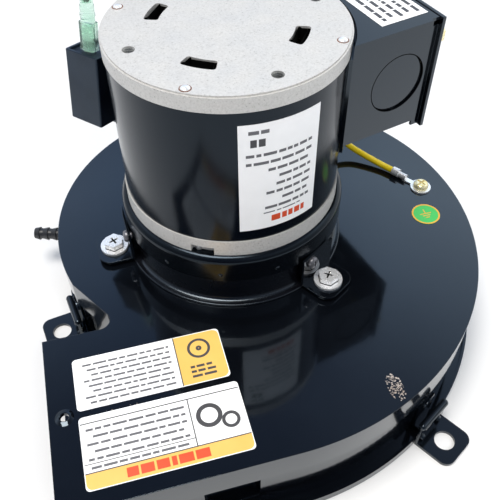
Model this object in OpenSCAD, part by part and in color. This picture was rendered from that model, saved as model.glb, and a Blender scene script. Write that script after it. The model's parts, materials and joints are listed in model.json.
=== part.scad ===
// Combustion fan: a sheet-steel scroll blower driven by a small flange-mounted motor.
// The origin is the centre of the inlet on the underside of the housing, +Z is the motor axis,
// and the outlet faces -X. Every dimension is in millimetres and every angle in degrees.

/* [Housing] */
// Height of the scroll housing
housing_h = 38; // [36:0.5:42]
// Thickness of the housing sheet
sheet = 1.2; // [0.9:0.1:1.5]
// Scroll radius where the wrap starts, at the tongue
throat_r = 74.2; // [73:0.1:76]
// Growth of the scroll radius over each degree of wrap
growth = 0.1225; // [0.12:0.0005:0.125]
// Distance from the motor axis to the outlet plane
outlet_x = 85; // [84:0.5:95]
// Radius of the round inlet
inlet_r = 36; // [30:0.5:38]
// Height of the seam where the top shell laps over the band
seam_z = 25.5; // [24:0.5:28]

/* [Wheel] */
// Outer radius of the wheel
wheel_r = 62; // [56:0.5:63]
// Number of forward-curved blades
blade_count = 36; // [24:1:44]
// Height of the wheel
wheel_h = 24.7; // [20:0.1:25]

/* [Motor] */
// Radius of the steel motor shell
motor_r = 42; // [41.5:0.1:42.3]
// Radius of the cast end bells
bell_r = 42.5; // [42.3:0.1:43]
// Height of the motor seat above the housing
seat_h = 26; // [25:0.5:30]
// Length of the steel motor shell
shell_h = 56; // [52:1:64]
// Radius of the motor shaft
shaft_r = 3.97; // [3.95:0.01:3.99]

/* [Electrical] */
// Direction in which the junction box stands out from the motor
box_az = 14; // [10:1:18]
// Distance from the motor axis to the outside of the junction box cover
box_reach = 68; // [64:1:72]
// Width of the junction box
box_w = 63; // [60:1:66]
// Height of the junction box
box_h = 41; // [38:1:44]
// Direction of the capacitor around the motor
capacitor_az = 133; // [128:1:136]
// Lean of the capacitor in its own plane
capacitor_lean = 9; // [0:1:12]

/* [Hidden] */

black_paint = [0.07, 0.08, 0.1];
cast_alloy = [0.75, 0.75, 0.74];
zinc = [0.72, 0.73, 0.75];
yellow_zinc = [0.8, 0.68, 0.35];
plain_steel = [0.6, 0.61, 0.63];
copper = [0.75, 0.42, 0.22];
label_white = [0.94, 0.94, 0.93];

// Scroll outline: the wrap is centred a little off the motor axis
scroll_centre = [2.4, 0.6];
start_az = 193;
wrap = 286.5;
wrap_step = 1.5;
tongue_y = -42.7;
tongue_centre = [-63.2, -37.2];
tongue_r = 5.5;
outlet_y = (scroll_point(wrap, 0)[1] + tongue_y) / 2;

// Heights up the motor
seat_z = housing_h + seat_h;
lower_bell_h = 7;
upper_bell_h = 6;
shell_z = seat_z + lower_bell_h;
upper_bell_z = shell_z + shell_h;
motor_top = upper_bell_z + upper_bell_h;
disc_t = 2.5;
shell_t = 1;
bolt_pcd_r = 39.6;
bolt_az = 58;
bolt_r = 1.35;
tapped_r = 34.9;
tapped_az = 12.6;
tapped_hole_r = 2.1;
slot_low = 23.2;
slot_w = 5.1;
boss_r = 12;
bearing_r = 8;

// Motor cup and legs
cup_r = 45;
cup_low = seat_z - 11.5;
cup_t = 1.2;
leg_az = [-177.5, -57.5, 62.5];
leg_screw_y = [5.5, -4, 4];
leg_screw_z = cup_low - 2;
leg_w = 17.5;
leg_t = 1;
leg_reach = 59;
leg_screw_r = 51.9;
pad_t = 1.6;
leg_top = cup_low + 1.5;
shield_r = 43;
shield_top = cup_low - 1.2;

// Pan lip and feet
lip_off = 2.3;
lip_flare = 0.009;
lip_h = 4;
lip_t = 1;
foot_az = [186.7, -62, 60];
foot_turn = 2.5;
foot_gap = 0.1;
foot_w = 17.4;
foot_len = 14.5;
foot_t = 1.5;
foot_hole_r = 4;
foot_hole_x = 6.9;
foot_web_t = 1.1;
foot_web_h = 12.5;
rivet_z = 2.9;
rivet_y = 5.5;
foot_corner = 4;

// Junction box, in its own frame: U runs out from the motor and V across it
box_top = motor_top - 1.5;
box_low = box_top - box_h;
box_t = 1.2;
box_inner_r = 43.6;
panel_end = box_reach - 5;
knockout_u = 51.3;
knockout_r = 11.1;
cover_screw_v = 26.5;
cover_screw_z = box_top - 9;
bushing_at = [47, 27];
bracket_low = 85.5;
bracket_high = 125;
bracket_screw_z = 120;

// Wheel, measured up from the inlet
wheel_z = 9.5;
blade_inner_r = wheel_r - 10;
ring_t = 1.2;

// Outlet screw hole, ground screw and ground mark on the top of the housing
outlet_hole = [-79.5, outlet_y];
outlet_hole_r = 1.5;
ground_at = [88.6, -0.9];
ground_dir = 125;
mark_at = [83.4, -17.7];
barb_t = 37;
barb_z = 17.5;
barb_dir = 161;
barb_len = 19;
stem_r = 2.5;
barb_bore_r = 1.4;

// Routes of the leads, from end to end
lead_r = 1.1;
ground_r = 1.45;
ground_route = [[80, 11.4, 40.1], [76.5, 16.3, 40.3], [71, 23.2, 41.5], [65.6, 29.3, 43.5], [60, 34, 48],
    [55, 35.5, 56], [51, 33, 67], [48, 29, 78], [47, 27, 86], [47, 27, 93]];
front_route = [[-43.5, 30.6, 131.8], [-42.6, 31.3, 138.9], [-38.5, 36.5, 141.5], [-31, 43, 143.5],
    [-22, 49.5, 140.5], [-12, 54, 133.5], [0, 53.5, 127], [8, 49.5, 123.8], [10.3, 44.5, 123],
    [9.1, 39.5, 123]];
rear_route = [[-28, 45, 128.4], [-27.3, 45.6, 134.5], [-20.5, 48, 135.5], [-13.5, 49.5, 131.5],
    [-5.5, 50.5, 125.8], [2, 49.8, 121.3], [8, 47, 119.3], [10.1, 43, 119], [9.1, 39.5, 119]];

// ---------- Functions ----------

function polar(r, az) = [r * cos(az), r * sin(az)];

function scroll_r(t, off, flare = 0) = throat_r + (growth + flare) * t + off;

function scroll_point(t, off, flare = 0) = scroll_centre + polar(scroll_r(t, off, flare), start_az - t);

// Closed outline of the scroll, moved outwards by off, with its outlet edge at x = -reach.
// flare moves it out further over each degree of wrap.
function outline(off, reach = outlet_x, flare = 0) =
    let (start = scroll_point(0, off), r = tongue_r - off, to_start = start - tongue_centre,
        last = atan2(to_start[1], to_start[0]) - acos(r / norm(to_start)))
    concat([for (t = [0 : wrap_step : wrap]) scroll_point(t, off, flare)],
        [[-reach, scroll_point(wrap, off, flare)[1]], [-reach, tongue_y + off]],
        [for (i = [0 : 8]) tongue_centre + polar(r, -90 + i * (last + 90) / 8)]);

// A smooth curve through a route, with steps rings on each stretch
function spline_at(p, i, f) =
    let (a = p[max(i - 1, 0)], b = p[i], c = p[min(i + 1, len(p) - 1)], d = p[min(i + 2, len(p) - 1)])
    (2 * b + (c - a) * f + (2 * a - 5 * b + 4 * c - d) * f * f + (3 * b - a - 3 * c + d) * f * f * f) / 2;

function smooth_route(p, steps) = concat(
    [for (i = [0 : len(p) - 2], s = [0 : steps - 1]) spline_at(p, i, s / steps)], [p[len(p) - 1]]);

function unit(v) = v / norm(v);

function ring_at(p, i, r, sides) =
    let (ahead = unit(p[min(i + 1, len(p) - 1)] - p[max(i - 1, 0)]),
        side = unit(cross(ahead, [0.6, -0.8, 0.05])), up = cross(side, ahead))
    [for (k = [0 : sides - 1]) p[i] + r * (cos(360 * k / sides) * side + sin(360 * k / sides) * up)];

// ---------- Shared shapes ----------

module at_polar(r, az, z = 0) {
    rotate([0, 0, az]) translate([r, 0, z]) children();
}

module ring(outer, inner, h) {
    difference() {
        cylinder(r = outer, h = h, $fn = 96);
        translate([0, 0, -1]) cylinder(r = inner, h = h + 2, $fn = 96);
    }
}

module tube(route, r, sides = 8) {
    p = smooth_route(route, 2);
    n = len(p);
    polyhedron(points = [for (i = [0 : n - 1], q = ring_at(p, i, r, sides)) q],
        faces = concat([[for (k = [0 : sides - 1]) k]],
            [for (i = [0 : n - 2], k = [0 : sides - 1])
                [i * sides + k, (i + 1) * sides + k, (i + 1) * sides + (k + 1) % sides,
                    i * sides + (k + 1) % sides]],
            [[for (k = [sides - 1 : -1 : 0]) (n - 1) * sides + k]]));
}

module scroll_wall(off, thickness, h, flare = 0) {
    linear_extrude(h) difference() {
        polygon(outline(off, outlet_x, flare));
        polygon(outline(off - thickness, outlet_x + 5, flare));
    }
}

// A block with its four vertical edges rounded
module round_block(w, d, h, r) {
    for (x = [r, w - r], y = [r, d - r]) translate([x, y, 0]) cylinder(r = r, h = h, $fn = 32);
    translate([r, 0, 0]) cube([w - 2 * r, d, h]);
    translate([0, r, 0]) cube([w, d - 2 * r, h]);
}

// Cross recess in the top of a screw head at z = 0
module cross_recess(size) {
    for (a = [0, 90]) rotate([0, 0, a]) translate([-size, -size / 5, -1]) cube([2 * size, 0.4 * size, 2]);
}

module hex_washer_screw(flange_r, flats, head_h, shank_r, shank_len) {
    difference() {
        union() {
            cylinder(r = flange_r, h = 1.1, $fn = 48);
            cylinder(r = flats / sqrt(3), h = head_h, $fn = 6);
        }
        translate([0, 0, head_h]) cross_recess(2);
    }
    translate([0, 0, -shank_len]) cylinder(r = shank_r, h = shank_len, $fn = 32);
}

module pan_screw(head_r, head_h, shank_r, shank_len) {
    difference() {
        rotate_extrude($fn = 48) polygon([[0, 0], [head_r, 0], [head_r, 0.45 * head_h],
            [0.86 * head_r, 0.8 * head_h], [0.6 * head_r, head_h], [0, head_h]]);
        translate([0, 0, head_h]) cross_recess(0.62 * head_r);
    }
    translate([0, 0, -shank_len]) cylinder(r = shank_r, h = shank_len, $fn = 32);
}

module box_frame() {
    rotate([0, 0, box_az]) children();
}

module capacitor_frame() {
    at_polar(0, capacitor_az) translate([43.6, 3.6, (capacitor_low + capacitor_high) / 2])
        rotate([capacitor_lean, 0, 0]) children();
}

// Offset of the outer face of a foot's web from the scroll, at the foot's place along the wrap
function web_off(az) = lip_off + lip_flare * (start_az - az) + foot_gap + foot_web_t;

// X runs out from the scroll, starting at the outer face of the foot's web
module foot_frame(az) {
    place = scroll_point(start_az - az, web_off(az));
    translate([place[0], place[1], 0]) rotate([0, 0, az + foot_turn]) children();
}

module barb_frame() {
    root = scroll_point(barb_t, 0);
    translate([root[0], root[1], barb_z]) rotate([0, 0, barb_dir]) rotate([0, 90, 0]) children();
}

// ---------- Housing ----------

module rivet_holes() {
    for (az = foot_az, y = [-rivet_y, rivet_y])
        foot_frame(az) translate([-4, y, rivet_z]) rotate([0, 90, 0]) cylinder(r = 0.8, h = 6, $fn = 24);
}

module base_pan() {
    color(black_paint) difference() {
        union() {
            linear_extrude(sheet) polygon(outline(lip_off, outlet_x, lip_flare));
            scroll_wall(lip_off, lip_t, lip_h, lip_flare);
        }
        translate([0, 0, -1]) cylinder(r = inlet_r + sheet, h = sheet + 2, $fn = 96);
        rivet_holes();
    }
}

module inlet_ring() {
    color(black_paint) {
        ring(inlet_r + sheet, inlet_r, 7);
        translate([0, 0, sheet]) ring(inlet_r + 8, inlet_r + sheet, sheet);
    }
}

window_x = -38.5;
window_w = 20;
window_low = 7;
window_high = 24;

module scroll_band() {
    color(black_paint) difference() {
        translate([0, 0, sheet]) scroll_wall(0, sheet, housing_h - 2 * sheet);
        translate([window_x, scroll_point(wrap, 1)[1] + 3, window_low]) rotate([90, 0, 0])
            round_block(window_w, window_high - window_low, 3, 2);
        barb_frame() translate([0, 0, -4]) cylinder(r = stem_r + 0.1, h = 8, $fn = 32);
    }
}

module scroll_top() {
    lap = 1.3;
    color(black_paint) difference() {
        union() {
            translate([0, 0, housing_h - sheet]) linear_extrude(sheet) polygon(outline(lap));
            translate([0, 0, seam_z]) scroll_wall(lap, lap - 0.1, housing_h - sheet - seam_z);
        }
        translate([0, 0, housing_h - 5]) cylinder(r = 38, h = 10, $fn = 96);
        for (az = leg_az) at_polar(leg_screw_r, az, housing_h - 5) cylinder(r = 2.2, h = 10, $fn = 32);
        translate([outlet_hole[0], outlet_hole[1], housing_h - 5])
            cylinder(r = outlet_hole_r, h = 10, $fn = 32);
        translate([ground_at[0], ground_at[1], housing_h - 5]) cylinder(r = 1.9, h = 10, $fn = 32);
    }
}

module window_pocket() {
    depth = 5;
    h = window_high - window_low;
    color(black_paint) translate([window_x, scroll_point(wrap, -sheet)[1], window_low]) difference() {
        union() {
            translate([-1, 0, -1]) cube([window_w + 2, depth + 1, h + 2]);
            translate([-4, 0, -4]) cube([window_w + 8, 1, h + 6]);
        }
        translate([0, depth, 0]) rotate([90, 0, 0]) round_block(window_w, h, depth + 1, 2);
    }
}

module foot(az) {
    edge_y = foot_w / 2 - foot_corner;
    clip_x = 0.3 - web_off(az);
    clip_low = lip_h + 0.4;
    clip_h = 13;
    clip_w = 10;
    bead_r = 1.6;
    color(black_paint) difference() {
        foot_frame(az) {
            translate([0, -foot_w / 2, 0]) cube([foot_len - foot_corner, foot_w, foot_t]);
            translate([0, -edge_y, 0]) cube([foot_len, 2 * edge_y, foot_t]);
            for (y = [-edge_y, edge_y]) translate([foot_len - foot_corner, y, 0])
                cylinder(r = foot_corner, h = foot_t, $fn = 32);
            translate([-foot_web_t, -foot_w / 2, 0]) cube([foot_web_t, foot_w, foot_web_h]);
            translate([-foot_web_t / 2, bead_r - foot_w / 2, foot_web_h]) rotate([-90, 0, 0])
                cylinder(r = bead_r, h = foot_w - 2 * bead_r, $fn = 32);
            for (y = [-1, 1]) translate([-foot_web_t / 2, y * (foot_w / 2 - bead_r), foot_web_h])
                sphere(r = bead_r, $fn = 32);
            translate([clip_x, -clip_w / 2, clip_low]) cube([-clip_x - 0.5, clip_w, 1.2]);
            difference() {
                translate([clip_x, -clip_w / 2, clip_low]) cube([1, clip_w, clip_h]);
                translate([clip_x - 1, 0, clip_low + clip_h]) rotate([0, 90, 0])
                    cylinder(r = 2.6, h = 3, $fn = 32);
            }
        }
        foot_frame(az) translate([foot_hole_x, 0, -1]) cylinder(r = foot_hole_r, h = 4, $fn = 48);
        rivet_holes();
    }
}

module foot_rivets() {
    grip = foot_web_t + foot_gap + lip_t;
    color(plain_steel) for (az = foot_az, y = [-rivet_y, rivet_y])
        foot_frame(az) translate([0, y, rivet_z]) rotate([0, 90, 0]) {
            cylinder(r1 = 1.4, r2 = 1, h = 0.8, $fn = 24);
            translate([0, 0, -grip]) cylinder(r = 0.75, h = grip, $fn = 24);
        }
}

module hose_barb() {
    color(black_paint) barb_frame() difference() {
        union() {
            translate([0, 0, -5.5]) cylinder(r = stem_r, h = 5.5 + barb_len, $fn = 32);
            translate([0, 0, 0.4]) cylinder(r = 5, h = 2, $fn = 48);
            for (z = [8.6, 12.6, barb_len - 2.4]) translate([0, 0, z])
                cylinder(r1 = 3.1, r2 = stem_r, h = 2.4, $fn = 32);
        }
        translate([0, 0, -6]) cylinder(r = barb_bore_r, h = barb_len + 7, $fn = 32);
    }
}

module barb_nut() {
    color(zinc) barb_frame() translate([0, 0, -4.4]) difference() {
        cylinder(r = 4.6, h = 2.6, $fn = 6);
        translate([0, 0, -1]) cylinder(r = stem_r + 0.05, h = 5, $fn = 32);
    }
}

// ---------- Motor mounting ----------

module heat_shield() {
    t = 1;
    color(black_paint) rotate_extrude($fn = 96) polygon([[shield_r - t, housing_h],
        [shield_r + 3.2, housing_h], [shield_r + 3.2, housing_h + t], [shield_r + 2, housing_h + t],
        [shield_r + 0.6, housing_h + 1.8 * t], [shield_r, housing_h + 3.2 * t], [shield_r, shield_top - 1.5],
        [shield_r - 0.5, shield_top - 0.4], [shield_r - 1.5, shield_top], [5.5, shield_top],
        [5.5, shield_top - t], [shield_r - 1.8, shield_top - t], [shield_r - t, shield_top - 1.8]]);
}

module shaft_seal() {
    color([0.2, 0.2, 0.2]) translate([0, 0, shield_top - 3.7]) ring(9, shaft_r + 0.35, 2.7);
}

// Holes for the small screws that hold each leg to a lug of the cup
module leg_screw_holes() {
    for (i = [0 : 2]) rotate([0, 0, leg_az[i]]) translate([cup_r - 4, leg_screw_y[i], leg_screw_z])
        rotate([0, 90, 0]) cylinder(r = 1.5, h = 8, $fn = 24);
}

module motor_cup() {
    edge = 3;
    lug_low = cup_low - 8;
    color(black_paint) difference() {
        rotate_extrude($fn = 96) polygon(concat([[cup_r, lug_low]],
            [for (a = [0 : 15 : 90]) [cup_r - edge, seat_z - edge] + polar(edge, a)],
            [[20, seat_z], [20, seat_z - cup_t]],
            [for (a = [90 : -15 : 0]) [cup_r - edge, seat_z - edge] + polar(edge - cup_t, a)],
            [[cup_r - cup_t, lug_low]]));
        for (az = leg_az) rotate([0, 0, az + 10.5]) translate([0, 0, lug_low - 1])
            rotate_extrude(angle = 99, $fn = 96)
                translate([cup_r - cup_t - 1, 0]) square([cup_t + 2, cup_low - lug_low + 1]);
        for (i = [0 : 3]) at_polar(bolt_pcd_r, bolt_az + 90 * i, seat_z - 5)
            cylinder(r = bolt_r + 0.2, h = 8, $fn = 32);
        leg_screw_holes();
    }
}

module leg(i) {
    low = housing_h + pad_t;
    corner = 5;
    face = cup_r + 0.1;
    edge_y = leg_w / 2 - corner;
    color(black_paint) difference() {
        rotate([0, 0, leg_az[i]]) {
            translate([face, -leg_w / 2, low]) cube([leg_t, leg_w, leg_top - low]);
            translate([face, -leg_w / 2, low]) cube([leg_reach - face - corner, leg_w, leg_t]);
            translate([face, -edge_y, low]) cube([leg_reach - face, 2 * edge_y, leg_t]);
            for (y = [-edge_y, edge_y]) translate([leg_reach - corner, y, low])
                cylinder(r = corner, h = leg_t, $fn = 48);
        }
        at_polar(leg_screw_r, leg_az[i], low - 1) cylinder(r = 2.2, h = 4, $fn = 32);
        leg_screw_holes();
    }
}

module leg_pads() {
    color([0.1, 0.1, 0.1]) for (az = leg_az)
        at_polar(leg_screw_r, az, housing_h) ring(5, 2.4, pad_t);
}

module leg_screws() {
    color(zinc) for (az = leg_az) at_polar(leg_screw_r, az, housing_h + pad_t + leg_t)
        rotate([0, 0, 20]) hex_washer_screw(5.7, 7, 3.6, 2.1, 5);
}

module cup_screws() {
    color([0.25, 0.25, 0.27]) for (i = [0 : 2]) rotate([0, 0, leg_az[i]])
        translate([cup_r + leg_t + 0.1, leg_screw_y[i], leg_screw_z])
            rotate([0, 90, 0]) pan_screw(2.5, 1.8, 1.4, 2.9);
}

// ---------- Motor ----------

module end_bell_slots() {
    r = 0.9;
    for (i = [0 : 3]) rotate([0, 0, bolt_az - 1 + 90 * i]) {
        rotate([0, 0, -12.5]) rotate_extrude(angle = 25, $fn = 96)
            translate([slot_low + r, -20]) square([slot_w - 2 * r, 40]);
        rotate([0, 0, -10.5]) rotate_extrude(angle = 21, $fn = 96)
            translate([slot_low, -20]) square([slot_w, 40]);
        for (q = [[slot_low + r + 0.03, 10.2], [slot_low + slot_w - r - 0.03, 10.45]], side = [-1, 1])
            at_polar(q[0], side * q[1], -20) cylinder(r = r, h = 40, $fn = 24);
    }
}

module bolt_holes() {
    for (i = [0 : 3]) at_polar(bolt_pcd_r, bolt_az + 90 * i, -20)
        cylinder(r = bolt_r + 0.1, h = 60, $fn = 32);
}

module lower_end_bell() {
    color(cast_alloy) translate([0, 0, seat_z]) difference() {
        union() {
            cylinder(r = bell_r, h = disc_t, $fn = 96);
            ring(bell_r, motor_r - shell_t, lower_bell_h);
            translate([0, 0, -4]) cylinder(r = boss_r, h = 14, $fn = 64);
        }
        translate([0, 0, -2]) cylinder(r = bearing_r, h = 20, $fn = 64);
        translate([0, 0, -5]) cylinder(r = shaft_r + 1, h = 10, $fn = 48);
        end_bell_slots();
        bolt_holes();
        rotate([0, 0, -125]) rotate_extrude(angle = 12, $fn = 96) translate([motor_r - 1.6, -1])
            square([5, 4.5]);
    }
}

module motor_shell() {
    color(black_paint) translate([0, 0, shell_z]) difference() {
        ring(motor_r, motor_r - shell_t, shell_h);
        at_polar(motor_r - 4, 77, grommet_z - shell_z) rotate([0, 90, 0])
            cylinder(r = 4.1, h = 8, $fn = 32);
        translate([0, 0, -shell_z]) bracket_screw_holes();
        translate([0, 0, -shell_z]) lead_window();
    }
}

module upper_end_bell() {
    color(cast_alloy) difference() {
        translate([0, 0, upper_bell_z]) union() {
            translate([0, 0, upper_bell_h - disc_t]) cylinder(r = bell_r - 0.6, h = disc_t, $fn = 96);
            ring(bell_r, motor_r - shell_t, upper_bell_h - 0.6);
            translate([0, 0, -8]) cylinder(r = boss_r, h = 12, $fn = 64);
        }
        translate([0, 0, upper_bell_z - 9]) cylinder(r = bearing_r, h = 9, $fn = 64);
        translate([0, 0, motor_top]) end_bell_slots();
        translate([0, 0, motor_top - 20]) bolt_holes();
        for (i = [0 : 3]) at_polar(tapped_r, tapped_az + 90 * i, motor_top - 5)
            cylinder(r = tapped_hole_r, h = 8, $fn = 32);
    }
}

stator_low = shell_z + 12;
stator_h = 32;
slot_r = 27;

module stator_core() {
    color(plain_steel) translate([0, 0, stator_low]) difference() {
        ring(motor_r - shell_t - 0.1, 20.6, stator_h);
        for (i = [0 : 11]) rotate([0, 0, 30 * i]) {
            translate([slot_r, 0, -1]) cylinder(r = 3.4, h = stator_h + 2, $fn = 24);
            translate([19, -1, -1]) cube([6, 2, stator_h + 2]);
        }
        for (i = [0 : 3]) at_polar(bolt_pcd_r, bolt_az + 90 * i, -1)
            cylinder(r = bolt_r + 0.5, h = stator_h + 2, $fn = 24);
    }
}

module stator_windings() {
    color(copper) translate([0, 0, stator_low]) {
        for (i = [0 : 11]) at_polar(slot_r, 30 * i, -1) cylinder(r = 3.1, h = stator_h + 2, $fn = 24);
        for (z = [-7, stator_h]) translate([0, 0, z]) rotate_extrude($fn = 64)
            polygon([[23.5, 0], [33, 0], [33.8, 3], [32, 6], [28.5, 7], [25, 6], [23, 3]]);
    }
}

module thermal_protector() {
    color([0.85, 0.83, 0.75]) at_polar(24.5, -30, stator_low + stator_h + 7)
        translate([0, -6.5, 0]) cube([7, 13, 3.5]);
}

module through_bolts() {
    dome = 1.65;
    length = motor_top - seat_z + 6;
    color(zinc) for (i = [0 : 3]) at_polar(bolt_pcd_r, bolt_az + 90 * i, seat_z - 6) {
        cylinder(r = bolt_r, h = length, $fn = 32);
        translate([0, 0, length]) rotate_extrude($fn = 32) polygon(concat([[0, 0], [dome, 0]],
            [for (a = [15 : 15 : 75]) [dome * cos(a), 0.8 * sin(a)]], [[0, 0.8]]));
    }
}

module bolt_nuts() {
    color(zinc) for (i = [0 : 3]) at_polar(bolt_pcd_r, bolt_az + 90 * i, seat_z - cup_t - 2.8)
        rotate([0, 0, 30]) difference() {
            cylinder(r = 3, h = 2.7, $fn = 6);
            translate([0, 0, -1]) cylinder(r = bolt_r + 0.05, h = 5, $fn = 32);
        }
}

module sleeve_bearing(z, h) {
    color([0.72, 0.55, 0.32]) translate([0, 0, z]) ring(bearing_r, shaft_r + 0.05, h);
}

// ---------- Capacitor ----------

capacitor_low = 84.8;
capacitor_high = 112.8;
capacitor_len = 37;
capacitor_t = 15.2;
blade_y = [12.4, -9];
potting_depth = 1.2;

module capacitor() {
    h = capacitor_high - capacitor_low;
    color([0.08, 0.09, 0.11]) capacitor_frame() translate([0, -capacitor_len / 2, -h / 2]) difference() {
        round_block(capacitor_t, capacitor_len, h, 0.8);
        translate([1.2, 1.2, h - potting_depth])
            cube([capacitor_t - 2.4, capacitor_len - 2.4, potting_depth + 1]);
    }
}

module capacitor_bracket() {
    h = capacitor_high - capacitor_low;
    t = 1.2;
    color(black_paint) capacitor_frame() {
        translate([-t - 0.3, -10, -h / 2 - t]) cube([t, 20, h]);
        translate([-t - 0.3, -10, -h / 2 - t]) cube([6, 20, t]);
    }
}

// Each terminal stands on the potting of the capacitor
module terminal_frame(y) {
    h = capacitor_high - capacitor_low;
    capacitor_frame() translate([capacitor_t / 2 + 0.8, y, h / 2 - potting_depth]) children();
}

module capacitor_blades() {
    color(zinc) for (y = blade_y) terminal_frame(y) translate([-2.4, -0.25, 0]) cube([4.8, 0.5, 9.6]);
}

module terminal_sleeves() {
    barrel_h = 16.5;
    color([0.6, 0.85, 0.7]) for (y = blade_y) terminal_frame(y) translate([0, 0, 0.8]) difference() {
        union() {
            translate([-3.1, -2.1, 0]) round_block(6.2, 4.2, 10.4, 0.8);
            cylinder(r = 2.6, h = barrel_h, $fn = 32);
            translate([0, 0, 12.6]) cylinder(r = 2.8, h = 0.9, $fn = 32);
            translate([0, 0, barrel_h]) cylinder(r1 = 2.4, r2 = 2.1, h = 4, $fn = 32);
        }
        translate([-2.6, -0.4, -1]) cube([5.2, 0.8, 11]);
        translate([0, 0, barrel_h + 1]) cylinder(r = lead_r + 0.35, h = 5, $fn = 24);
    }
}

grommet_z = 121;

module lead_grommet() {
    bore = 3.4;
    color([0.1, 0.1, 0.1]) rotate([0, 0, 77]) translate([motor_r - 3.4, 0, grommet_z])
        rotate([0, 90, 0]) {
            ring(5.5, bore, 1.8);
            ring(4, bore, 4);
            translate([0, 0, 3.5]) ring(5.5, bore, 1.6);
        }
}

// ---------- Junction box ----------

// Window through which the motor leads pass into the box
module lead_window() {
    box_frame() translate([motor_r - 5, -5, bracket_screw_z - 3]) cube([12, 10, 7]);
}

module bracket_screw_frame(i) {
    rotate([0, 0, box_az + 22 * i]) translate([box_inner_r + box_t, 0, bracket_screw_z])
        rotate([0, 90, 0]) children();
}

module bracket_screw_holes() {
    for (i = [-1, 1]) bracket_screw_frame(i) translate([0, 0, -6]) cylinder(r = 1.6, h = 7, $fn = 24);
}

module box_bracket() {
    color(black_paint) difference() {
        rotate([0, 0, box_az - 43]) rotate_extrude(angle = 86, $fn = 96)
            translate([motor_r + 0.1, bracket_low]) square([1.3, bracket_high - bracket_low]);
        bracket_screw_holes();
        lead_window();
    }
}

module bracket_screws() {
    color(zinc) for (i = [-1, 1]) bracket_screw_frame(i) translate([0, 0, 0.15])
        pan_screw(2.8, 2, 1.5, 4.2);
}

module knockout_cut(r) {
    box_frame() translate([knockout_u, -box_w / 2 - 1, (box_low + box_top) / 2 - 0.5])
        rotate([-90, 0, 0]) cylinder(r = r, h = 4, $fn = 64);
}

module junction_box() {
    color(black_paint) difference() {
        box_frame() translate([30, -box_w / 2, box_low]) cube([panel_end - 30, box_w, box_h]);
        translate([0, 0, box_low - 1]) cylinder(r = box_inner_r, h = box_h + 2, $fn = 96);
        difference() {
            box_frame() translate([29, -box_w / 2 + box_t, box_low + box_t])
                cube([panel_end - 28, box_w - 2 * box_t, box_h - 2 * box_t]);
            translate([0, 0, box_low - 2]) cylinder(r = box_inner_r + box_t, h = box_h + 4, $fn = 96);
        }
        lead_window();
        bracket_screw_holes();
        knockout_cut(knockout_r + 0.35);
        translate([bushing_at[0], bushing_at[1], box_low - 1]) cylinder(r = 3.1, h = 4, $fn = 32);
    }
    color(black_paint) box_frame() translate([panel_end, -box_w / 2 + box_t, box_top - box_t])
        cube([3.4, box_w - 2 * box_t, box_t]);
    color(black_paint) for (v = [-1, 1]) difference() {
        box_frame() translate([panel_end - box_t, v * (box_w / 2 - box_t - 3.5) - 3.5, cover_screw_z - 5])
            cube([box_t, 7, 10]);
        cover_screw_hole(v);
    }
}

module cover_screw_hole(v) {
    box_frame() translate([panel_end - 4, v * cover_screw_v, cover_screw_z])
        rotate([0, 90, 0]) cylinder(r = 1.9, h = 12, $fn = 24);
}

module knockout() {
    mid = (box_low + box_top) / 2 - 0.5;
    color(black_paint) box_frame() {
        translate([knockout_u, -box_w / 2 + 0.7, mid])
            rotate([-90, 0, 0]) cylinder(r = knockout_r, h = 1, $fn = 64);
        for (z = [mid - knockout_r - 0.35, mid + knockout_r - 0.15])
            translate([knockout_u - 1, -box_w / 2 + 0.2, z]) cube([2, 0.8, 0.5]);
    }
}

module box_cover() {
    flange_v = box_w / 2 - box_t - 0.6;
    color(black_paint) difference() {
        box_frame() {
            translate([box_reach - 1.4, -box_w / 2 - 0.5, box_low - 4]) cube([1.4, box_w + 1, box_h + 4.3]);
            for (v = [-1, 1]) translate([box_reach - 4.8, v * flange_v - 0.5, box_low - 3.6])
                cube([4, 1, box_h + 0.6]);
        }
        for (v = [-1, 1]) cover_screw_hole(v);
    }
}

module cover_screws() {
    color(yellow_zinc) for (v = [-1, 1]) box_frame()
        translate([box_reach, v * cover_screw_v, cover_screw_z])
            rotate([0, 90, 0]) hex_washer_screw(4.4, 6.4, 3.6, 1.8, 8);
}

module box_bushing() {
    color([0.1, 0.1, 0.1]) translate([bushing_at[0], bushing_at[1], box_low - 1.4]) {
        ring(3.6, ground_r + 0.3, 1.4);
        ring(3, ground_r + 0.3, 3.8);
    }
}

module splice_caps() {
    color([0.85, 0.55, 0.15]) for (v = [-6, 5]) box_frame() translate([56, v, box_low + box_t])
        cylinder(r1 = 5, r2 = 3.4, h = 18, $fn = 32);
}

// ---------- Ground lead, marks and labels ----------

module ring_terminal() {
    color(zinc) translate([ground_at[0], ground_at[1], housing_h]) rotate([0, 0, ground_dir]) difference() {
        union() {
            cylinder(r = 4.6, h = 0.8, $fn = 48);
            translate([4, -1.2, 0]) cube([5, 2.4, 0.8]);
            translate([7.6, 0, 1.6]) rotate([0, 90, 0]) cylinder(r = 1.45, h = 4.4, $fn = 32);
            translate([11.6, 0, 2.1]) rotate([0, 90, 0]) cylinder(r = 2, h = 3.4, $fn = 32);
        }
        translate([0, 0, -1]) cylinder(r = 1.9, h = 4, $fn = 32);
    }
}

module ground_screw() {
    color(yellow_zinc) translate([ground_at[0], ground_at[1], housing_h + 0.8])
        rotate([0, 0, 25]) pan_screw(3.4, 2.3, 1.8, 7);
}

module ground_mark() {
    color([0.15, 0.6, 0.3]) translate([mark_at[0], mark_at[1], housing_h])
        cylinder(r = 6.2, h = 0.15, $fn = 64);
}

module nameplate() {
    color(label_white) translate([0, 0, shell_z + 5]) rotate([0, 0, -100])
        rotate_extrude(angle = 40.5, $fn = 96) translate([motor_r, 0]) square([0.15, 46]);
}

module box_label() {
    color(label_white) box_frame() translate([45.2, -26, box_top]) cube([19.6, 46, 0.15]);
}

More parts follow.
